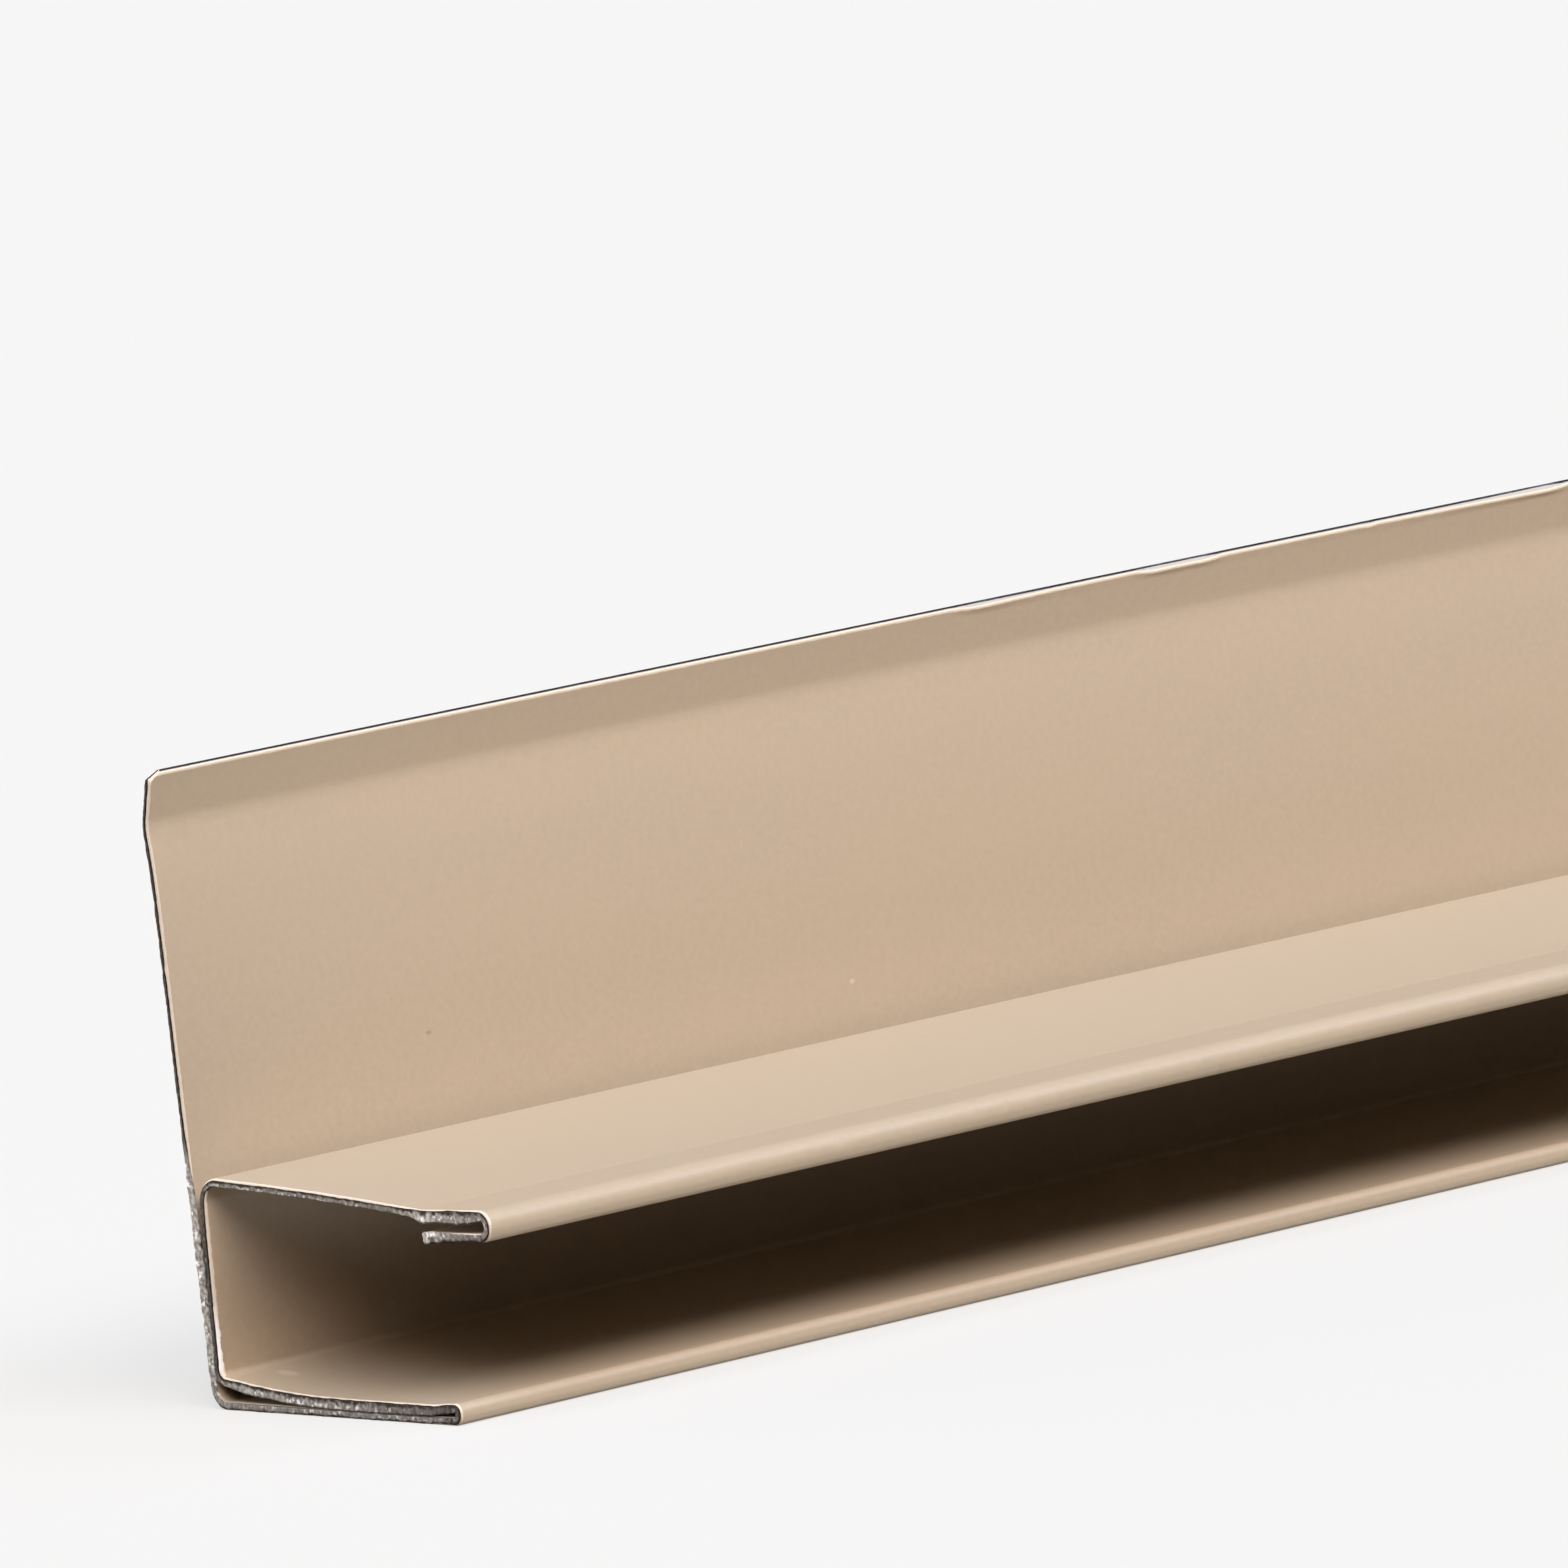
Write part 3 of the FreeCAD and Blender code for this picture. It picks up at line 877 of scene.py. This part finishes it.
# %% Floor
floor_size = 400.0
glow_share = 0.65
floor_corners = [(x * floor_size, y * floor_size, 0) for x, y in ((-1, -1), (1, -1), (1, 1), (-1, 1))]
floor_mesh = bpy.data.meshes.new("floor")
floor_mesh.from_pydata(floor_corners, [], [(0, 1, 2, 3)])
floor = bpy.data.objects.new("floor", floor_mesh)
bpy.context.scene.collection.objects.link(floor)
floor_finish, tree, output, _ = new_finish("pale_sweep")
frosted = add_node(tree, "ShaderNodeBsdfDiffuse", {"Color": linear("#C8C6C3")})
lit = add_node(tree, "ShaderNodeEmission", {"Color": linear("#F7F7F6")})
shader = add_node(tree, "ShaderNodeMixShader", {0: glow_share, 1: frosted, 2: lit})
tree.links.new(shader.outputs[0], output.inputs["Surface"])
floor_mesh.materials.append(floor_finish)
floor.visible_diffuse = floor.visible_glossy = floor.visible_shadow = False
print("floor spans", floor_size * 2, "m")

# %% [markdown]
# Light. The trim is three metres long and not four centimetres high, so a lamp near one end would fade along
# it. The studio is drawn on the world instead, which is infinitely far away and lights all of it alike. Two
# angles say where a direction lies: the lift, measured round the stock from straight in front through
# overhead to straight behind, and the swing, towards the near end or the far one. A warm softbox hangs in
# front on the near side, high enough that the top leg shades the whole pocket. Cooler, weaker light comes
# from higher up and from the far side, some comes from below, as over a glass table, and some from behind the
# near end, for the cut metal to mirror. The pale sweep under the trim is seen by the camera but throws no
# light back, so that the undersides stay as deep as in the photograph.

# %% Angles of a direction in the studio
seam = -110.0   # degrees of lift, low behind the strip, where no lamp hangs
world = bpy.data.worlds.new("studio")
bpy.context.scene.world = world
world.use_nodes = True
tree = world.node_tree
tree.nodes.clear()
place = add_node(tree, "ShaderNodeTexCoord").outputs["Generated"]
towards = add_node(tree, "ShaderNodeSeparateXYZ", {0: place}).outputs
in_front = add_node(tree, "ShaderNodeMath", {0: towards["Y"], 1: -1.0}, operation="MULTIPLY")
turned = add_node(tree, "ShaderNodeMath", {0: towards["Z"], 1: in_front}, operation="ARCTAN2")
lift = add_node(tree, "ShaderNodeMath", {0: turned, 1: 180 / math.pi}, operation="MULTIPLY")
past_seam = add_node(tree, "ShaderNodeMath", {0: lift, 1: seam}, operation="LESS_THAN")
lift = add_node(tree, "ShaderNodeMath", {0: past_seam, 1: 360.0, 2: lift}, operation="MULTIPLY_ADD")
swing = add_node(tree, "ShaderNodeMath", {0: towards["X"]}, operation="ARCSINE")
swing = add_node(tree, "ShaderNodeMath", {0: swing, 1: 180 / math.pi}, operation="MULTIPLY")
print("a direction straight up has lift 90 and swing 0")


# %% Hang the lamps
def lamp(colour, strength, lifts, swings):
    """A soft-edged lamp: each angle rises over its first pair of degrees and falls over its second."""
    glow = strength
    for angle, (rise_from, rise_to, fall_from, fall_to) in ((lift, lifts), (swing, swings)):
        for start, end in ((rise_from, rise_to), (fall_to, fall_from)):
            edge = add_node(tree, "ShaderNodeMapRange", {0: angle, 1: start, 2: end}, **smoothly)
            glow = add_node(tree, "ShaderNodeMath", {0: edge, 1: glow}, operation="MULTIPLY")
    return add_node(tree, "ShaderNodeBackground", {"Color": linear(colour), "Strength": glow})


lamps = (
    lamp("#FFECDF", 11.9, (28, 40, 54, 66), (-52, -34, -10, 25)),      # the warm softbox in front
    lamp("#D8EAFF", 7.0, (54, 68, 80, 96), (-52, -34, -18, 20)),       # cooler, from higher up
    lamp("#B9DFFF", 4.1, (28, 40, 56, 68), (0, 35, 90, 100)),          # cool, from the far side
    lamp("#FFF1E0", 3.9, (-100, -90, -72, -55), (0, 25, 60, 95)),      # warm, from below
    lamp("#FFF8F0", 3.1, (-45, -32, -22, -8), (0, 25, 45, 65)),        # low in front
    lamp("#F4F1F0", 2.6, (135, 155, 195, 210), (-100, -95, 0, 25)))    # behind, for the cut metal
glow = lamps[0]
for lit in lamps[1:]:
    glow = add_node(tree, "ShaderNodeAddShader", {0: glow, 1: lit})
seen = add_node(tree, "ShaderNodeBackground", {"Color": linear("#F8F8F7"), "Strength": 1.0})
choice = add_node(tree, "ShaderNodeMixShader", {
    0: add_node(tree, "ShaderNodeLightPath").outputs["Is Camera Ray"], 1: glow, 2: seen})
add_node(tree, "ShaderNodeOutputWorld", {"Surface": choice})
bpy.context.scene.view_settings.view_transform = "Standard"
print("lamps", len(lamps), "view transform", bpy.context.scene.view_settings.view_transform)

# %% [markdown]
# Camera. It stands about a metre from the near end and looks through a long lens, so the strip narrows only
# a little. Its place and direction were solved from the strip's parallel edges and its cut end. A camera
# could be turned by hand until it looks right, but a solved one lets both pictures be laid over each other.

# %% Camera
lens = bpy.data.cameras.new("camera")
lens.lens = 425.42
lens.sensor_width = 36.0
lens.clip_start = 0.1
lens.clip_end = 1000.0
camera = bpy.data.objects.new("camera", lens)
bpy.context.scene.collection.objects.link(camera)
bpy.context.scene.camera = camera
looks = Vector((0.6283, 0.7693, -0.1162)).normalized()
rights = Vector((0.761, -0.6387, -0.1136))
rights = (rights - looks * rights.dot(looks)).normalized()
ups = rights.cross(looks)
turn = Matrix((rights, ups, -looks)).transposed().to_4x4()
stands_at = Vector((-2178.45, -846.75, 159.40)) * MM
camera.matrix_world = Matrix.Translation(stands_at) @ turn
print("camera stands at", [round(v, 3) for v in camera.location])
